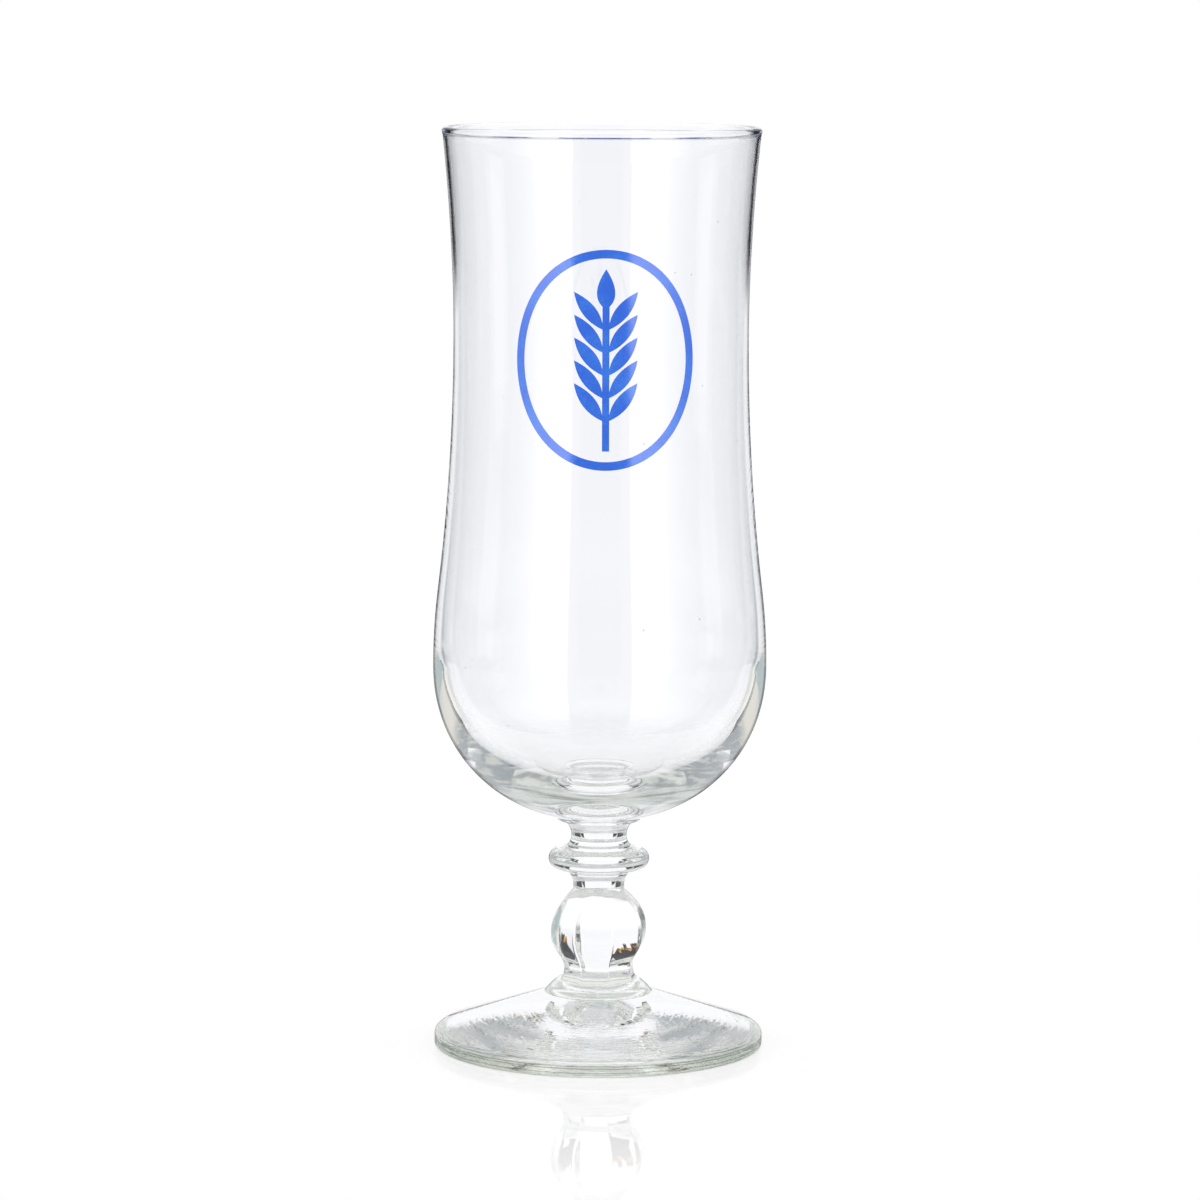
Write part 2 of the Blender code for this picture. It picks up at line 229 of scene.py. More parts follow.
def spun_streaks(start, place):
    """Noise drawn out along the turn, as spinning leaves it in hot glass."""
    across, along = split_axes(start, place)[:2]
    reach = from_axis(start, place)
    turned = start.math("ARCTAN2", across, along * -1.0)
    grid = {"X": reach * STREAK_GRID[0], "Y": turned * STREAK_GRID[1]}
    polar = start.node("ShaderNodeCombineXYZ", {}, grid)
    streaks = start.node("ShaderNodeTexNoise", {}, {"Vector": polar, "Scale": 1.0, "Detail": 2.0})
    return streaks * reach.between(*STREAK_ENDS)


def glass_finish(name, tint, wave_height, wave_scale, zones=(), streaks=0.0):
    """Clear glass with slow waves in its fire-polished skin and a few tiny seeds.

    Each zone is a span of heights, the softness of its ends, a radius that it starts beyond, and a tint.
    For some zones the tint is painted shade.
    """
    finish, shader, start, place = new_finish(name)
    shader.inputs["Roughness"].default_value = 0.0
    shader.inputs["IOR"].default_value = GLASS_IOR
    shader.inputs["Transmission Weight"].default_value = 1.0
    waves = start.node("ShaderNodeTexNoise", {}, {"Vector": place, "Scale": wave_scale, "Detail": 1.0})
    relief = waves * wave_height
    if streaks:
        relief = relief + spun_streaks(start, place) * streaks
    bump = start.node("ShaderNodeBump", {}, {"Strength": 1.0, "Distance": 1.0, "Height": relief})
    bump.feeds(shader, "Normal")
    reach = from_axis(start, place)
    level = split_axes(start, place)[2] + (waves - 0.5) * ZONE_WANDER
    colour = (*tint, 1.0)
    for low, high, soft, beyond, zone_tint in zones:
        zone = level.between(low - soft, low) * level.between(high + soft, high)
        zone = zone * reach.between(beyond - soft, beyond)
        colour = zone.mix(colour, (*zone_tint, 1.0))
    seeds = start.node("ShaderNodeTexVoronoi", {}, {"Vector": place, "Scale": SEED_SCALE}, "Distance")
    colour = seeds.between(SEED_SIZE, SEED_SIZE / 2).mix(colour, SEED_GREY)
    colour.feeds(shader, "Base Color")
    return finish


def fused_joint():
    """The faces that are melted together, where nothing shows any more."""
    joint = bpy.data.materials.new("fused_joint")
    joint.use_nodes = True
    joint.node_tree.nodes["Principled BSDF"].inputs["Alpha"].default_value = 0.0
    return joint


def finish_glass(piece, finish, joints):
    """Gives a glass piece its finish, its fused faces at the joint heights, and smooth shading."""
    piece.data.materials.append(finish)
    piece.data.materials.append(FUSED)
    points = piece.data.vertices
    for face in piece.data.polygons:
        reaches_axis = any(points[i].co.xy.length < WELD for i in face.vertices)
        at_joint = any(abs(face.center.z - height) < 2 * SEAM for height in joints)
        face.material_index = 1 if reaches_axis and at_joint else 0
    bpy.ops.object.select_all(action="DESELECT")
    piece.select_set(True)
    bpy.context.view_layer.objects.active = piece
    bpy.ops.object.shade_smooth_by_angle(angle=SHARP_ANGLE)


def foot_outline():
    """From the joint's centre out over the slope and the edge, and under the foot into its hollow."""
    shoulder_radius = FOOT_RADIUS - FOOT_SHOULDER_INSET
    slope = (FOOT_TOP - FOOT_SHOULDER_HEIGHT) / (shoulder_radius - BOSS_RADIUS)
    top = [(0.0, FOOT_TOP - SEAM)]
    for radius in steps_between(BOSS_RADIUS, shoulder_radius, FOOT_SLOPE_STEPS)[:-1]:
        from_ends = min(radius - BOSS_RADIUS, shoulder_radius - radius)
        ease = level_ease(min(1.0, from_ends / FOOT_RINGS_EASE))
        rings = sum(height * math.sin(2 * math.pi * radius / pitch) for height, pitch in FOOT_RINGS)
        top.append((radius, FOOT_TOP - SEAM - slope * (radius - BOSS_RADIUS) + rings * ease))
    edge = []
    for angle in steps_between(0, math.pi / 2, FOOT_SHOULDER_STEPS):
        out = FOOT_SHOULDER_INSET * math.sin(angle)
        fall = (FOOT_SHOULDER_HEIGHT - FOOT_EDGE_HEIGHT) * (1 - math.cos(angle))
        lean = slope * out * (1 - math.sin(angle))
        edge.append((shoulder_radius + out, FOOT_SHOULDER_HEIGHT - fall - lean))
    for angle in steps_between(0, math.pi / 2, FOOT_ROUNDING_STEPS):
        inset = FOOT_EDGE_ROUNDING * (1 - math.cos(angle))
        edge.append((FOOT_RADIUS - inset, FOOT_EDGE_ROUNDING * (1 - math.sin(angle))))
    ring_radius = FOOT_RADIUS - FOOT_EDGE_ROUNDING
    hollow_radius = FOOT_RADIUS - FOOT_RESTING_WIDTH
    ring_steps = steps_between(ring_radius, hollow_radius, FOOT_RESTING_STEPS)[1:-1]
    ring = [(radius, 0.0) for radius in ring_steps]
    hollow = []
    for t in steps_between(1, 0, FOOT_HOLLOW_STEPS):
        fall = math.hypot(t, FOOT_HOLLOW_ROUND) - FOOT_HOLLOW_ROUND
        full_fall = math.hypot(1, FOOT_HOLLOW_ROUND) - FOOT_HOLLOW_ROUND
        hollow.append((hollow_radius * t, FOOT_HOLLOW_DEPTH * (1 - fall / full_fall)))
    return [*top, *edge, *ring, *hollow]


FUSED = fused_joint()
foot = turn_on_lathe("glass_foot", foot_outline(), ROUND_STEPS)
edge_start = FOOT_RADIUS - FOOT_EDGE_BAND
foot_zones = [(BELOW_FOOT, FOOT_EDGE_HEIGHT, FOOT_EDGE_SOFT, edge_start, FOOT_EDGE_TINT)]
# Painted shade: thin dark lines round the edge, in the glass's colour.
for height in FOOT_PAINTED_SHADE_LINES:
    foot_zones.append((height, height + FOOT_SHADE_LINE_WIDTH, FOOT_SHADE_LINE_WIDTH, edge_start, FOOT_PAINTED_LINE_SHADE))
foot_glass = glass_finish("foot_glass", FOOT_TINT, *FOOT_WAVES, foot_zones, FOOT_STREAKS)
finish_glass(foot, foot_glass, [FOOT_TOP])
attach(foot, "root")
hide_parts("foot")

# Boss: the low round skirt under the knop, of the stem's glass.
# It is pressed with the stem and fused to the foot below and the knop above.
BOSS_TOP = (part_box("foot_boss")[1][2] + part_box("faceted_knop")[0][2]) / 2
STEM_TINT = (0.985, 0.99, 0.988)
STEM_WAVES = (0.01 * MM, 400.0)
STEM_STEPS = 192
KNOP_FACETS = 8
KNOP_TURN = math.radians(15.5)
KNOP_BASE_RADIUS = 8.4 * MM
KNOP_CORNER = 0.8 * MM
BOSS_FACE_RADIUS = 8.5 * MM
BOSS_SHOULDER_RADIUS = 10.0 * MM
BOSS_SHOULDER_HEIGHT = FOOT_TOP + 1.25 * MM
BOSS_ROUNDING = 0.5 * MM
BOSS_ROUNDING_STEPS = 10


def bent_edge(start, pull, end, count):
    """Points on a curve from start to end, drawn towards pull."""
    points = []
    for t in steps_between(0, 1, count):
        shares = zip(start, pull, end)
        points.append(tuple((1 - t) ** 2 * s + 2 * t * (1 - t) * p + t * t * e for s, p, e in shares))
    return points


def soft_corner(before, corner, after, reach):
    """Points that round a corner, from this far before it to this far after it."""
    first = [c + (b - c) * reach / math.dist(before, corner) for b, c in zip(before, corner)]
    last = [c + (a - c) * reach / math.dist(after, corner) for a, c in zip(after, corner)]
    return bent_edge(first, corner, last, BOSS_ROUNDING_STEPS)


def boss_outline():
    low, high = FOOT_TOP + SEAM, BOSS_TOP - SEAM
    face = (BOSS_FACE_RADIUS, high)
    shoulder = (BOSS_SHOULDER_RADIUS, BOSS_SHOULDER_HEIGHT)
    edge = (BOSS_RADIUS, low)
    turn = soft_corner(face, shoulder, edge, BOSS_ROUNDING)
    return [(0.0, high), (KNOP_BASE_RADIUS, high), face, *turn, edge, (0.0, low)]


def press_to_facets(point, corner):
    """Moves a point of a round ring in to an eight-sided one with rounded corners."""
    radius = point.co.xy.length
    half_facet = math.pi / KNOP_FACETS
    turned = math.atan2(point.co.y, point.co.x) - KNOP_TURN
    from_corner = abs((turned + half_facet) % (2 * half_facet) - half_facet)
    middle = (radius - corner) * math.cos(half_facet) + corner
    centre = radius - corner
    from_middle = half_facet - from_corner
    if math.tan(from_middle) * middle < centre * math.sin(half_facet):
        pressed = middle / math.cos(from_middle)
    else:
        chord = corner**2 - (centre * math.sin(from_corner)) ** 2
        pressed = centre * math.cos(from_corner) + math.sqrt(max(0.0, chord))
    point.co.x *= pressed / radius
    point.co.y *= pressed / radius


stem_glass = glass_finish("stem_glass", STEM_TINT, *STEM_WAVES)
boss = turn_on_lathe("glass_boss", boss_outline(), STEM_STEPS)
for point in boss.data.vertices:
    on_top = point.co.z > BOSS_TOP - 2 * SEAM
    if on_top and abs(point.co.xy.length - KNOP_BASE_RADIUS) < WELD:
        press_to_facets(point, KNOP_CORNER)
finish_glass(boss, stem_glass, [FOOT_TOP, BOSS_TOP])
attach(boss, "root")
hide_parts("foot_boss")

# Knop: the eight-sided swelling of the stem, with a drawn-in waist and a flared base.
# Its facets come from the mould, with corners that the fire polish rounded.
KNOP_TOP = (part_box("faceted_knop")[1][2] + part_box("lower_neck")[0][2]) / 2
KNOP_RADIUS = 10.1 * MM
KNOP_WIDEST = BOSS_TOP + 10.3 * MM
KNOP_WAIST_RADIUS = 7.3 * MM
KNOP_WAIST = BOSS_TOP + 2.8 * MM
KNOP_NECK_RADIUS = 5.2 * MM
KNOP_SHOULDER_FULLNESS = 2.2
KNOP_TAPER_LAG = 1.35
KNOP_ROUND_TOP = 2.2 * MM
KNOP_SHOULDER_STEPS = 40
KNOP_TAPER_STEPS = 32
KNOP_FLARE_STEPS = 20


def cove(narrow, wide, count):
    """Hollow quarter curve from an upright narrow end to a level wide end, as (radius, height) points."""
    points = []
    for angle in steps_between(0, math.pi / 2, count):
        radius = wide[0] - (wide[0] - narrow[0]) * math.cos(angle)
        height = narrow[1] + (wide[1] - narrow[1]) * math.sin(angle)
        points.append((radius, height))
    return points


def knop_outline():
    """Down one corner of the knop: shoulder, widest point, waist and flared base."""
    top, low = KNOP_TOP - SEAM, BOSS_TOP + SEAM
    shoulder = []
    for t in steps_between(1, 0, KNOP_SHOULDER_STEPS):
        drawn_in = (KNOP_RADIUS - KNOP_NECK_RADIUS) * t**KNOP_SHOULDER_FULLNESS
        shoulder.append((KNOP_RADIUS - drawn_in, KNOP_WIDEST + (top - KNOP_WIDEST) * t))
    taper = []
    for t in steps_between(0, 1, KNOP_TAPER_STEPS):
        drawn_in = (KNOP_RADIUS - KNOP_WAIST_RADIUS) * level_ease(t**KNOP_TAPER_LAG)
        taper.append((KNOP_RADIUS - drawn_in, KNOP_WIDEST + (KNOP_WAIST - KNOP_WIDEST) * t))
    flare = cove((KNOP_WAIST_RADIUS, KNOP_WAIST), (KNOP_BASE_RADIUS, low), KNOP_FLARE_STEPS)
    return [(0.0, top), *shoulder, *taper[1:], *flare[1:], (0.0, low)]


knop = turn_on_lathe("glass_knop", knop_outline(), STEM_STEPS)
for point in knop.data.vertices:
    if point.co.xy.length > WELD:
        roundness = level_ease(max(0.0, 1 - (KNOP_TOP - point.co.z) / KNOP_ROUND_TOP))
        corner = KNOP_CORNER + (point.co.xy.length - KNOP_CORNER) * roundness
        press_to_facets(point, corner)
finish_glass(knop, stem_glass, [BOSS_TOP, KNOP_TOP])
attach(knop, "root")
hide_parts("faceted_knop")

# Lower neck: the short round neck that opens into the collar, of the stem's glass.
# It is drawn out of the knop while hot and fused to the collar above.
LOWER_NECK_TOP = (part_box("lower_neck")[1][2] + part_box("collar_ring")[0][2]) / 2
LOWER_NECK_SHAFT = 0.9 * MM
COLLAR_FACE_RADIUS = 8.1 * MM
NECK_FLARE_STEPS = 28
NECK_SHAFT_STEPS = 5


def lower_neck_outline():
    low, high = KNOP_TOP + SEAM, LOWER_NECK_TOP - SEAM
    shaft_top = low + LOWER_NECK_SHAFT
    flare = cove((KNOP_NECK_RADIUS, shaft_top), (COLLAR_FACE_RADIUS, high), NECK_FLARE_STEPS)
    shaft = [(KNOP_NECK_RADIUS, z) for z in steps_between(shaft_top, low, NECK_SHAFT_STEPS)]
    return [(0.0, high), *reversed(flare), *shaft[1:], (0.0, low)]


lower_neck = turn_on_lathe("glass_lower_neck", lower_neck_outline(), STEM_STEPS)
finish_glass(lower_neck, stem_glass, [KNOP_TOP, LOWER_NECK_TOP])
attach(lower_neck, "root")
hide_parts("lower_neck")

# Collar: the rounded ring of glass round the stem, pressed with it.
# Its edge is fire-polished, with the faint upright seam of the mould at the front.
COLLAR_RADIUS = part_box("collar_ring")[1][0]
COLLAR_TOP = (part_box("collar_ring")[1][2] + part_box("upper_neck")[0][2]) / 2
MOULD_SEAM_ANGLE = math.radians(-75)
MOULD_SEAM_HEIGHT = 0.06 * MM
COLLAR_NOSE_STEPS = 36


def round_nose(face_radius, outer_radius, low, high):
    """Rounded rim of a disc, from its upper face down to its lower face."""
    middle = (low + high) / 2
    points = []
    for angle in steps_between(math.pi / 2, -math.pi / 2, COLLAR_NOSE_STEPS):
        radius = face_radius + (outer_radius - face_radius) * math.cos(angle)
        points.append((radius, middle + (high - low) / 2 * math.sin(angle)))
    return points


def collar_outline():
    low, high = LOWER_NECK_TOP + SEAM, COLLAR_TOP - SEAM
    return [(0.0, high), *round_nose(COLLAR_FACE_RADIUS, COLLAR_RADIUS, low, high), (0.0, low)]


collar = turn_on_lathe("glass_collar", collar_outline(), STEM_STEPS)
for point in collar.data.vertices:
    radius = point.co.xy.length
    on_seam = abs(math.atan2(point.co.y, point.co.x) - MOULD_SEAM_ANGLE) < math.pi / STEM_STEPS
    if radius > COLLAR_FACE_RADIUS and on_seam:
        point.co.x *= 1 + MOULD_SEAM_HEIGHT / radius
        point.co.y *= 1 + MOULD_SEAM_HEIGHT / radius
finish_glass(collar, stem_glass, [LOWER_NECK_TOP, COLLAR_TOP])
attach(collar, "root")
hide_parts("collar_ring")

# Upper neck: the button of glass under the bowl, a lip that narrows to a neck above the collar.
# The bowl was stuck to it hot, and the edge of the lip shows where the two meet.
UPPER_NECK_TOP = (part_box("upper_neck")[1][2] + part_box("bowl")[0][2]) / 2
UPPER_NECK_RADIUS = 5.65 * MM
UPPER_NECK_WAIST = COLLAR_TOP + 2.65 * MM
UPPER_NECK_LIP = 0.5 * MM
BOWL_SEAT_RADIUS = 8.4 * MM


def upper_neck_outline():
    low, high = COLLAR_TOP + SEAM, UPPER_NECK_TOP - SEAM
    waist = (UPPER_NECK_RADIUS, UPPER_NECK_WAIST)
    lip = cove(waist, (BOWL_SEAT_RADIUS, high - UPPER_NECK_LIP), NECK_FLARE_STEPS)
    flare = cove(waist, (COLLAR_FACE_RADIUS, low), NECK_FLARE_STEPS)
    return [(0.0, high), (BOWL_SEAT_RADIUS, high), *reversed(lip), *flare[1:], (0.0, low)]


upper_neck = turn_on_lathe("glass_upper_neck", upper_neck_outline(), STEM_STEPS)
finish_glass(upper_neck, stem_glass, [COLLAR_TOP, UPPER_NECK_TOP])
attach(upper_neck, "root")
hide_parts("upper_neck")

# Bowl: the tall tulip bowl of clear soda-lime glass, with a thin wall, a very thick base and a rim bead.
# It was blown in a mould, cracked off and fire-polished at the rim, and stuck hot to the stem.
BOWL_TINT = (0.99, 0.992, 0.998)
BOWL_WAVES = (0.01 * MM, 120.0)
# The thick base is tinted greyer, partly the colour of glass that thick and partly painted shade.
BASE_TINT_AND_SHADE = (0.85, 0.862, 0.87)
BASE_TINT_AND_SHADE_RISE = 9.2 * MM
BASE_TINT_AND_SHADE_SOFT = 5.0 * MM
RIM_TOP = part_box("bowl")[1][2]
BELLY_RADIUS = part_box("bowl")[1][0]
BOWL_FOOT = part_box("bowl")[0][2]
BELLY_RISE = 31.4 * MM
BELLY_HEIGHT = BOWL_FOOT + BELLY_RISE
BELLY_FULLNESS = 2.1
WAIST_RADIUS = 29.9 * MM
WAIST_HEIGHT = RIM_TOP - 42.0 * MM
WAIST_TO_BELLY_TURN = 0.77
RIM_RADIUS = 32.3 * MM
RIM_FLARE = 1.9
RIM_BEAD_RADIUS = 0.85 * MM
RIM_BEAD_WRAP = math.radians(20)
WALL = 0.75 * MM
BELLY_WALL = 2.0 * MM
BELLY_WALL_ONSET = 1.3
BASE_THICKNESS = 6.4 * MM
HOLLOW_LIFT = 5.0 * MM
HOLLOW_FULLNESS = 2.3
HOLLOW_STEPS = 80
WALL_STEPS = 100
RIM_BEAD_STEPS = 28
UNDERSIDE_STEPS = 64


def bowl_radius(z):
    """Outer radius of the bowl above its belly."""
    if z >= WAIST_HEIGHT:
        flare = (z - WAIST_HEIGHT) / (RIM_TOP - WAIST_HEIGHT)
        return WAIST_RADIUS + (RIM_RADIUS - WAIST_RADIUS) * flare**RIM_FLARE
    fall = (WAIST_HEIGHT - z) / (WAIST_HEIGHT - BELLY_HEIGHT)
    if fall < WAIST_TO_BELLY_TURN:
        swell = fall**2 / WAIST_TO_BELLY_TURN
    else:
        swell = 1 - (1 - fall) ** 2 / (1 - WAIST_TO_BELLY_TURN)
    return WAIST_RADIUS + (BELLY_RADIUS - WAIST_RADIUS) * swell


def inner_radius(z):
    """Inner radius of the bowl above its belly, where the wall grows from the waist down."""
    fall = max(0.0, (WAIST_HEIGHT - z) / (WAIST_HEIGHT - BELLY_HEIGHT))
    return bowl_radius(z) - WALL - (BELLY_WALL - WALL) * fall**BELLY_WALL_ONSET


def full_curve(wide, depth, fullness, last_angle, count):
    """Rounded bottom from (wide, 0) towards (0, -depth), up to last_angle of its quarter turn."""
    points = []
    for angle in steps_between(0, last_angle, count):
        radius = wide * max(0.0, math.cos(angle)) ** (2 / fullness)
        points.append((radius, -depth * math.sin(angle) ** (2 / fullness)))
    return points


def bowl_outline():
    """From the centre of the inner base up inside, over the rim bead, and down outside to the joint."""
    wall_top = RIM_TOP - 2 * RIM_BEAD_RADIUS
    hollow_top = BELLY_HEIGHT + HOLLOW_LIFT
    hollow_depth = BELLY_RISE + HOLLOW_LIFT - BASE_THICKNESS
    hollow = full_curve(1.0, hollow_depth, HOLLOW_FULLNESS, math.pi / 2, HOLLOW_STEPS)
    inside = [(0.0, hollow_top - hollow_depth)]
    for share, drop in reversed(hollow[:-1]):
        inside.append((share * inner_radius(max(hollow_top + drop, BELLY_HEIGHT)), hollow_top + drop))
    inside += [(inner_radius(z), z) for z in steps_between(hollow_top, wall_top, WALL_STEPS)[1:]]
    bead = []
    for angle in steps_between(math.pi + RIM_BEAD_WRAP, -RIM_BEAD_WRAP, RIM_BEAD_STEPS):
        radius = RIM_RADIUS - RIM_BEAD_RADIUS * (1 - math.cos(angle))
        bead.append((radius, RIM_TOP - RIM_BEAD_RADIUS * (1 - math.sin(angle))))
    outside = [(bowl_radius(z), z) for z in steps_between(wall_top, BELLY_HEIGHT, WALL_STEPS)[:-1]]
    seat_share = BOWL_SEAT_RADIUS / BELLY_RADIUS
    depth = BELLY_RISE / (1 - seat_share**BELLY_FULLNESS) ** (1 / BELLY_FULLNESS)
    seat_angle = math.acos(seat_share ** (BELLY_FULLNESS / 2))
    underside = full_curve(BELLY_RADIUS, depth, BELLY_FULLNESS, seat_angle, UNDERSIDE_STEPS)
    outside += [(radius, BELLY_HEIGHT + drop) for radius, drop in underside]
    low = UPPER_NECK_TOP + SEAM
    return [*inside, *bead, *outside, (BOWL_SEAT_RADIUS, low), (0.0, low)]


bowl = turn_on_lathe("glass_bowl", bowl_outline(), ROUND_STEPS)
# The base zone's greyer tint: some of the thick glass's own colour, and painted shade.
thick_base_tint_and_shade = (0.0, UPPER_NECK_TOP + BASE_TINT_AND_SHADE_RISE, BASE_TINT_AND_SHADE_SOFT, 0.0, BASE_TINT_AND_SHADE)
bowl_glass = glass_finish("bowl_glass", BOWL_TINT, *BOWL_WAVES, [thick_base_tint_and_shade])
finish_glass(bowl, bowl_glass, [UPPER_NECK_TOP])
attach(bowl, "root")
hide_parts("bowl")

# Oval band: a fired film of blue enamel on the bowl's front, screen-printed and burnt into the glass.
# It has a glossy skin with fine pores, and its lower face is in the glass itself.
PRINT_HEIGHT = RIM_TOP - 44.9 * MM
PRINT_TURN = math.radians(1.8)
OVAL_WIDTH = 37.0 * MM
OVAL_HEIGHT = 43.5 * MM
OVAL_BAND = 1.7 * MM
OVAL_STEPS = 160
FILM_DEPTH = 0.06 * MM
FILM_SINK = 0.01 * MM
FILM_FACET = 1.0 * MM
ENAMEL_BLUE = (0.006, 0.125, 0.76, 1.0)
ENAMEL_THIN = (0.02, 0.19, 0.84, 1.0)
ENAMEL_THIN_SPAN = (0.42, 0.66)
ENAMEL_IOR = 1.85
ENAMEL_CLOUDS = 160.0
ENAMEL_CLOUD_SHARE = 0.6
ENAMEL_GRAIN = 2600.0
ENAMEL_GRAIN_SHARE = 0.4
ENAMEL_PORE_DEPTH = 0.002 * MM
ENAMEL_ROUGHNESS = 0.08
ENAMEL_PORE_ROUGHNESS = 0.12


def enamel_finish():
    """Opaque blue enamel, a little paler where the screen laid it thin, with small pores."""
    finish, shader, start, place = new_finish("blue_enamel")
    shader.inputs["IOR"].default_value = ENAMEL_IOR
    clouds = start.node("ShaderNodeTexNoise", {}, {"Vector": place, "Scale": ENAMEL_CLOUDS, "Detail": 3.0})
    grain = start.node("ShaderNodeTexNoise", {}, {"Vector": place, "Scale": ENAMEL_GRAIN, "Detail": 2.0})
    thin = (clouds * ENAMEL_CLOUD_SHARE + grain * ENAMEL_GRAIN_SHARE).between(*ENAMEL_THIN_SPAN)
    thin.mix(ENAMEL_BLUE, ENAMEL_THIN).feeds(shader, "Base Color")
    (grain * ENAMEL_PORE_ROUGHNESS + ENAMEL_ROUGHNESS).feeds(shader, "Roughness")
    pores = {"Strength": 1.0, "Distance": ENAMEL_PORE_DEPTH, "Height": grain}
    start.node("ShaderNodeBump", {}, pores).feeds(shader, "Normal")
    return finish


def print_film(name, outlines):
    """A film of one flat outline, or of the band between two, wrapped on the bowl's front."""
    film = open_new_piece(name)
    for outline in outlines:
        draw_outline([*outline, outline[0]])
    bpy.ops.mesh.select_all(action="SELECT")
    bpy.ops.mesh.remove_doubles(threshold=WELD)
    if len(outlines) == 2:
        bpy.ops.mesh.bridge_edge_loops()
    else:
        bpy.ops.mesh.edge_face_add()
    bpy.ops.mesh.quads_convert_to_tris()
    for axis, reach in ((0, OVAL_WIDTH / 2), (2, OVAL_HEIGHT / 2)):
        cuts = int(reach / FILM_FACET)
        facing = (1.0, 0.0, 0.0) if axis == 0 else (0.0, 0.0, 1.0)
        for cut in range(-cuts, cuts + 1):
            place = [cut * FILM_FACET * part for part in facing]
            bpy.ops.mesh.select_all(action="SELECT")
            bpy.ops.mesh.bisect(plane_co=place, plane_no=facing)
    bpy.ops.mesh.select_all(action="SELECT")
    bpy.ops.mesh.remove_doubles(threshold=WELD)
    bpy.ops.mesh.normals_make_consistent(inside=False)
    bpy.ops.object.mode_set(mode="OBJECT")
    for point in film.data.vertices:
        angle = PRINT_TURN - math.pi / 2 + point.co.x / bowl_radius(PRINT_HEIGHT)
        height = PRINT_HEIGHT + point.co.z
        radius = bowl_radius(height)
        point.co = (radius * math.cos(angle), radius * math.sin(angle), height)
    skin = film.modifiers.new("Depth", "SOLIDIFY")
    skin.thickness = FILM_DEPTH
    faces_out = film.data.polygons[0].normal.y < 0
    skin.offset = (1 - 2 * FILM_SINK / FILM_DEPTH) * (1 if faces_out else -1)
    bpy.ops.object.modifier_apply(modifier="Depth")
    bpy.ops.object.mode_set(mode="EDIT")
    bpy.ops.mesh.select_all(action="SELECT")
    bpy.ops.mesh.normals_make_consistent(inside=False)
    bpy.ops.object.mode_set(mode="OBJECT")
    bpy.ops.object.shade_smooth_by_angle(angle=SHARP_ANGLE)
    film.data.materials.append(enamel)
    return film


def oval(width, height):
    turn = steps_between(0, 2 * math.pi, OVAL_STEPS)[:-1]
    return [(width / 2 * math.cos(a), height / 2 * math.sin(a)) for a in turn]


enamel = enamel_finish()
inner_oval = oval(OVAL_WIDTH - 2 * OVAL_BAND, OVAL_HEIGHT - 2 * OVAL_BAND)
band = print_film("enamel_oval", [oval(OVAL_WIDTH, OVAL_HEIGHT), inner_oval])
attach(band, "root")
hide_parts("enamel_band")

# Barley ear: the second island of the same enamel film, inside the oval.
# It is printed in the same pass, a stalk with leaning grains on both sides and one at the top.
STALK_WIDTH = 1.4 * MM
STALK_LENGTH = 6.0 * MM
GRAIN_PAIRS = 5
GRAIN_PITCH = 4.5 * MM
GRAIN_REACH = 5.6 * MM
GRAIN_RISE = 7.4 * MM
GRAIN_SWELL = 2.5 * MM
GRAIN_ROOT = 1.2 * MM
TOP_GRAIN_LENGTH = 7.4 * MM
GRAIN_STEPS = 12


def ear_outline():
    """Up the right side of the stalk, round its grains, and down the left side."""
    edge = STALK_WIDTH / 2
    low = -(STALK_LENGTH + GRAIN_PAIRS * GRAIN_PITCH + TOP_GRAIN_LENGTH) / 2
    length = math.hypot(GRAIN_REACH, GRAIN_RISE)
    swell_out = GRAIN_SWELL * GRAIN_RISE / length
    swell_down = GRAIN_SWELL * GRAIN_REACH / length
    right = [(edge, low)]
    for pair in range(GRAIN_PAIRS):
        start = low + STALK_LENGTH + pair * GRAIN_PITCH
        tip = (edge + GRAIN_REACH, start + GRAIN_RISE)
        middle = (edge + GRAIN_REACH / 2, start + GRAIN_RISE / 2)
        under_pull = (middle[0] + swell_out, middle[1] - swell_down)
        upper_pull = (middle[0] - swell_out, middle[1] + swell_down)
        right += bent_edge((edge, start), under_pull, tip, GRAIN_STEPS)[:-1]
        right += bent_edge(tip, upper_pull, (edge, start + GRAIN_ROOT), GRAIN_STEPS)
    neck = low + STALK_LENGTH + GRAIN_PAIRS * GRAIN_PITCH
    top = (0.0, neck + TOP_GRAIN_LENGTH)
    top_pull = (edge + GRAIN_SWELL, neck + TOP_GRAIN_LENGTH / 3)
    right += bent_edge((edge, neck), top_pull, top, GRAIN_STEPS)[:-1]
    left = [(-across, up) for across, up in reversed(right)]
    return [*right, top, *left]


ear = print_film("enamel_barley", [ear_outline()])
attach(ear, "root")
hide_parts("enamel_ear")

# Floor: a smooth pale sheet that the glass stands on, lightly polished so that the foot mirrors in it.
# It fades out into the white studio away from the glass, and is partly clear in a ring round the foot.
# A faint glow lifts it towards white, and twice as much where it is seen through the glass, which is
# painted light there; seen through the glass its colour is also a shade darker, which is painted shade.
FLOOR_RADIUS = 190 * MM
FLOOR_SIDES = 96
FLOOR_FADE = (185 * MM, 70 * MM)
FLOOR_DROP = 0.1 * MM
FLOOR_COLOUR = (0.985, 0.985, 0.985, 1.0)
FLOOR_SHADE_IN_GLASS = (0.95, 0.95, 0.95, 1.0)
FLOOR_ROUGHNESS = 0.004
FLOOR_SPECULAR = 0.45
FLOOR_LIFT = 0.08
FLOOR_GLOW = (2.0, 2.0, 2.0, 1.0)
NO_LIGHT = (0.0, 0.0, 0.0, 1.0)
FLOOR_RING_START = (FOOT_RADIUS - 1 * MM, FOOT_RADIUS)
FLOOR_RING_END = (52 * MM, 44 * MM)
FLOOR_RING_CLEAR = 0.6


def light_path(start, name):
    """What is known of the light that meets the surface, such as whether it came through glass."""
    return start.node("ShaderNodeLightPath", {}, {}, name)


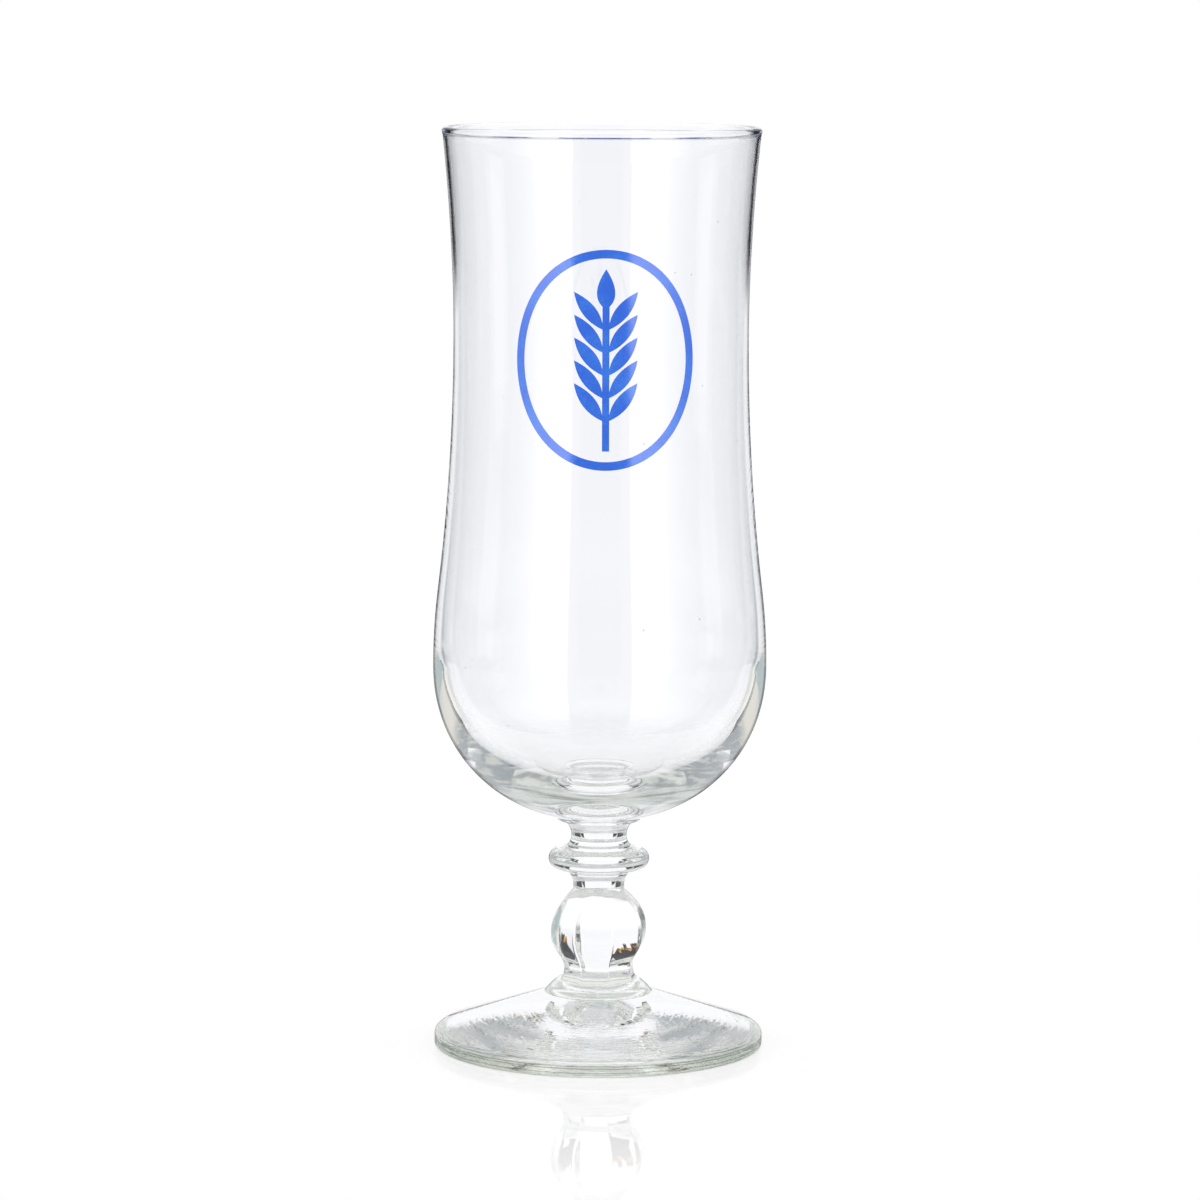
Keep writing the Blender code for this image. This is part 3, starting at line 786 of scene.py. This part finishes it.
bpy.ops.object.select_all(action="DESELECT")
bpy.ops.mesh.primitive_circle_add(
    vertices=FLOOR_SIDES, radius=FLOOR_RADIUS, fill_type="NGON", location=(0.0, 0.0, -FLOOR_DROP)
)
floor = bpy.context.object
floor.name = "floor"
floor_finish, shader, start, place = new_finish("floor_finish")
shader.inputs["Roughness"].default_value = FLOOR_ROUGHNESS
shader.inputs["Specular IOR Level"].default_value = FLOOR_SPECULAR
shader.inputs["Emission Strength"].default_value = FLOOR_LIFT
reach = from_axis(start, place)
ring = reach.between(*FLOOR_RING_START) * reach.between(*FLOOR_RING_END)
shown = reach.between(*FLOOR_FADE) * (1.0 - ring * FLOOR_RING_CLEAR)
shown.feeds(shader, "Alpha")
# Seen through the glass the floor is a shade darker, painted shade, and glows twice as much, painted light.
through_glass = light_path(start, "Is Transmission Ray")
through_glass.mix(FLOOR_COLOUR, FLOOR_SHADE_IN_GLASS).feeds(shader, "Base Color")
glow = through_glass.mix(NO_LIGHT, FLOOR_GLOW)
light_path(start, "Is Camera Ray").mix(glow, FLOOR_COLOUR).feeds(shader, "Emission Color")
floor.data.materials.append(floor_finish)

# Cards: boards behind the glass, out of the camera's sight, which draw its dark lines.
# Two hang high and wide for the bowl. Two posts and two torn cards with amber glowing ends stand low
# for the stem, and a clouded grey one stands behind the bowl's thick base.
# The amber glow is painted light, which the knop shows as warm glints.
HIGH_DISTANCE = 150 * MM
HIGH_SIDES = (67 * MM, 300 * MM)
HIGH_ENDS = (136 * MM, 330 * MM)
HIGH_SOFT_END = 22 * MM
HIGH_PASSES = 4
LOW_DISTANCE = 60 * MM
LOW_PASSES = 2
TORN_CARDS = {
    "torn_left_card": ((-20.5 * MM, -31 * MM), (27 * MM, 55 * MM), 6.5 * MM),
    "torn_right_card": ((23 * MM, 31 * MM), (16 * MM, 55 * MM), 6 * MM),
}
POST_SIDES = (32 * MM, 62 * MM)
POST_ENDS = (21 * MM, 57 * MM)
CLOUD_SIDES = (-36 * MM, 36 * MM)
CLOUD_ENDS = (56.5 * MM, 72 * MM)
CLOUD_DARK = (0.36, 0.39, 0.38, 1.0)
CLOUD_LIGHT = (0.76, 0.79, 0.75, 1.0)
CLOUD_GRID = (70.0, 1.0, 260.0)
CLOUD_SPAN = (0.34, 0.54)
CARD_BOARD = 1 * MM
CARD_REACH = (230 * MM, 229 * MM)
CARD_BLACK = (0.02, 0.02, 0.025, 1.0)
TEAR_GRID = (900.0, 1.0, 30.0)
TEAR_LENGTH = 28 * MM
TEAR_MIDDLE = 0.35
TEAR_SOFT = 0.5 * MM
# Torn ends that glow amber: painted light, which the knop shows as warm glints.
AMBER_GLOW_END = (0.75, 0.4, 0.1, 1.0)
AMBER_GLOW_RISE = (5 * MM, 2 * MM)
AMBER_GLOW_SPAN = (0.42, 0.5)


def stretched_noise(start, place, grid):
    """Noise that is finer along the axes with the larger numbers in grid."""
    stretched = start.node("ShaderNodeVectorMath", {"operation": "MULTIPLY"}, {0: place, 1: grid})
    return start.node("ShaderNodeTexNoise", {}, {"Vector": stretched, "Scale": 1.0, "Detail": 3.0})


def card_finish(name, most_passes):
    """Black, whatever light falls on it.

    Light that went through more faces of glass than most_passes misses it. So does light from farther off
    than the glass, which keeps the card out of the floor's mirror.
    """
    finish, shader, start, place = new_finish(name)
    shader.inputs["Base Color"].default_value = NO_LIGHT
    shader.inputs["Specular IOR Level"].default_value = 0.0
    shader.inputs["Emission Color"].default_value = CARD_BLACK
    shader.inputs["Emission Strength"].default_value = 1.0
    few_passes = start.math("LESS_THAN", light_path(start, "Transmission Depth"), most_passes + 0.5)
    shown = few_passes * light_path(start, "Ray Length").between(*CARD_REACH)
    shown.feeds(shader, "Alpha")
    return finish, shader, start, place, shown


def tear_off(shader, start, place, shown, low_end):
    """Tears a card's lower edge into tongues whose ends glow amber, painted light for warm glints."""
    tears = stretched_noise(start, place, TEAR_GRID)
    ragged = split_axes(start, place)[2] - (tears - TEAR_MIDDLE) * TEAR_LENGTH - low_end
    (shown * ragged.between(0.0, TEAR_SOFT)).feeds(shader, "Alpha")
    amber_glow = ragged.between(*AMBER_GLOW_RISE) * tears.between(*AMBER_GLOW_SPAN)
    amber_glow.mix(CARD_BLACK, AMBER_GLOW_END).feeds(shader, "Emission Color")


def hang_card(name, distance, sides, ends, finish, lean=0.0, mirrored=False):
    """A board across the view, which casts no shadow and which the camera doesn't see.

    Its sides are given from the inner to the outer one. The lower outer corner is drawn in by lean.
    A mirrored one also shows in the skin of the glass.
    """
    bpy.ops.object.select_all(action="DESELECT")
    bpy.ops.mesh.primitive_cube_add(size=1.0, location=(0.0, 0.0, 0.0))
    card = bpy.context.object
    card.name = name
    bpy.ops.object.mode_set(mode="EDIT")
    bpy.ops.mesh.select_all(action="SELECT")
    bpy.ops.transform.resize(value=(abs(sides[1] - sides[0]), CARD_BOARD, ends[1] - ends[0]))
    bpy.ops.transform.translate(value=(sum(sides) / 2, distance, sum(ends) / 2))
    bpy.ops.object.mode_set(mode="OBJECT")
    for point in card.data.vertices:
        if point.co.z < sum(ends) / 2 and abs(point.co.x) > abs(sum(sides)) / 2:
            point.co.x -= math.copysign(lean, point.co.x)
    card.data.materials.append(finish)
    card.visible_camera = False
    card.visible_diffuse = False
    card.visible_glossy = mirrored
    card.visible_shadow = False


high_finish, shader, start, place, shown = card_finish("high_card", HIGH_PASSES)
soft_end = split_axes(start, place)[2].between(HIGH_ENDS[0], HIGH_ENDS[0] + HIGH_SOFT_END)
(shown * soft_end).feeds(shader, "Alpha")
post_finish = card_finish("post", LOW_PASSES)[0]
for word, side in (("left", -1), ("right", 1)):
    high_sides = [side * value for value in HIGH_SIDES]
    hang_card("high_" + word + "_card", HIGH_DISTANCE, high_sides, HIGH_ENDS, high_finish, mirrored=True)
    post_sides = [side * value for value in POST_SIDES]
    hang_card("low_" + word + "_post", LOW_DISTANCE, post_sides, POST_ENDS, post_finish)
for name, (sides, ends, lean) in TORN_CARDS.items():
    torn_finish, shader, start, place, shown = card_finish(name, LOW_PASSES)
    tear_off(shader, start, place, shown, ends[0])
    hang_card(name, LOW_DISTANCE, sides, ends, torn_finish, lean)
cloud_finish, shader, start, place, shown = card_finish("cloud_card", LOW_PASSES)
cloud = stretched_noise(start, place, CLOUD_GRID).between(*CLOUD_SPAN)
cloud.mix(CLOUD_DARK, CLOUD_LIGHT).feeds(shader, "Emission Color")
hang_card("cloud_card", LOW_DISTANCE, CLOUD_SIDES, CLOUD_ENDS, cloud_finish)

# Studio: a white backdrop between dimmer, cluttered sides with windows, which draw the edges of the glass.
# Two tall softboxes stand beside the camera. What the camera sees directly is plain white.
# Angles are degrees from straight behind the glass or from the horizon, each pair from none to full.
STUDIO_WHITE = (1.0, 1.0, 1.0, 1.0)
BACKDROP = (1.0, 1.0, 1.03, 1.0)
BACKDROP_EDGE = (33, 26)
TABLE = (1.1, 1.1, 1.12, 1.0)
TABLE_EDGE = (-18, -30)
DIM_SIDE = (0.33, 0.37, 0.39, 1.0)
LIGHT_SIDE = (0.6, 0.61, 0.57, 1.0)
CLUTTER_GRID = (6.0, 6.0, 16.0)
CLUTTER_SPAN = (0.5, 0.66)
LOW_SIDE = (0.72, 0.73, 0.73, 1.0)
LOW_SIDE_EDGE = (-18, -22)
LOW_ROOM = (0.8, 0.8, 0.79, 1.0)
LOW_ROOM_EDGE = (76, 90)
ROOM = (0.8, 0.78, 0.7, 1.0)
ROOM_EDGE = (112, 135)
BEHIND_CAMERA = (0.42, 0.51, 0.51, 1.0)
BEHIND_CAMERA_EDGE = (162, 166)
CEILING = (0.75, 0.75, 0.75, 1.0)
CEILING_EDGE = (36, 46)
WINDOWS = ((90, -10, 7), (45, -33, -17), (135, -22, -8))
WINDOW_HALF = 9
WINDOW_FRAME = 3
WINDOW_SILL = 1
MIRRORED_CARD = (0.05, 0.05, 0.06, 1.0)
MIRRORED_CARD_EDGE = (3, 5)
MIRRORED_SIDE = (0.6, 0.6, 0.62, 1.0)
MIRRORED_SIDE_EDGE = (19, 22)
UNLIT_ROOM = (0.4, 0.4, 0.43, 1.0)
UNLIT_ROOM_EDGE = (80, 100)
WHITE_WALL_EDGE = (-0.5, 1.5)
WHITE_WALL_SIDE = (107, 100)
WHITE_TOP_EDGE = (10, 12)
SOFTBOX = (2.6, 2.6, 2.65, 1.0)
SOFTBOX_FAR_SIDE = (92, 150)
SOFTBOX_NEAR_SIDE = (159, 157)


def over_horizon(up, first, last):
    """0 to 1 between two angles over the horizon, given how far up a direction of length 1 goes."""
    return up.between(math.sin(math.radians(first)), math.sin(math.radians(last)))


world = bpy.data.worlds.new("studio")
bpy.context.scene.world = world
world.use_nodes = True
start = Shade(world.node_tree)
view = start.node("ShaderNodeTexCoord", {}, {}, "Generated")
across, along, up = split_axes(start, view)
aside = start.math("ABSOLUTE", start.math("ARCTAN2", across, along)) * math.degrees(1)
backdrop = aside.between(*BACKDROP_EDGE)
clutter = stretched_noise(start, view, CLUTTER_GRID).between(*CLUTTER_SPAN)
level_view = clutter.mix(DIM_SIDE, LIGHT_SIDE)
level_view = aside.between(*ROOM_EDGE).mix(level_view, ROOM)
level_view = aside.between(*BEHIND_CAMERA_EDGE).mix(level_view, BEHIND_CAMERA)
level_view = backdrop.mix(level_view, BACKDROP)
level_view = over_horizon(up, *CEILING_EDGE).mix(level_view, CEILING)
table = over_horizon(up, *TABLE_EDGE).mix(BACKDROP, TABLE)
low_view = aside.between(*LOW_ROOM_EDGE).mix(LOW_SIDE, LOW_ROOM)
low_view = backdrop.mix(low_view, table)
seen_through = over_horizon(up, *LOW_SIDE_EDGE).mix(level_view, low_view)
for middle, low, high in WINDOWS:
    left, right = middle - WINDOW_HALF, middle + WINDOW_HALF
    window = aside.between(left, left + WINDOW_FRAME) * aside.between(right, right - WINDOW_FRAME)
    window = window * over_horizon(up, low, low + WINDOW_SILL)
    window = window * over_horizon(up, high, high - WINDOW_SILL)
    seen_through = window.mix(seen_through, BACKDROP)
mirrored = aside.between(*MIRRORED_CARD_EDGE).mix(STUDIO_WHITE, MIRRORED_CARD)
mirrored = aside.between(*MIRRORED_SIDE_EDGE).mix(mirrored, MIRRORED_SIDE)
mirrored = aside.between(*UNLIT_ROOM_EDGE).mix(mirrored, UNLIT_ROOM)
white_wall = over_horizon(up, *WHITE_WALL_EDGE) * aside.between(*WHITE_WALL_SIDE)
mirrored = white_wall.mix(mirrored, STUDIO_WHITE)
softbox = aside.between(*SOFTBOX_FAR_SIDE) * aside.between(*SOFTBOX_NEAR_SIDE)
mirrored = softbox.mix(mirrored, SOFTBOX)
mirrored = over_horizon(up, *WHITE_TOP_EDGE).mix(mirrored, STUDIO_WHITE)
light = light_path(start, "Is Glossy Ray").mix(STUDIO_WHITE, mirrored)
light = light_path(start, "Is Transmission Ray").mix(light, seen_through)
light = light_path(start, "Diffuse Depth").between(0.0, 1.0).mix(light, STUDIO_WHITE)
light = light_path(start, "Is Camera Ray").mix(light, STUDIO_WHITE)
light.feeds(world.node_tree.nodes["Background"], "Color")

# Light paths: light runs on inside the thin wall of the bowl, and only a high limit lets it out at the rim.
# The view transform leaves colours as they are written.
MOST_TURNS = 256
MOST_CLEAR_FACES = 48
settings = bpy.context.scene.cycles
settings.max_bounces = MOST_TURNS
settings.transmission_bounces = MOST_TURNS
settings.glossy_bounces = MOST_TURNS
settings.transparent_max_bounces = MOST_CLEAR_FACES
bpy.context.scene.view_settings.view_transform = "Standard"
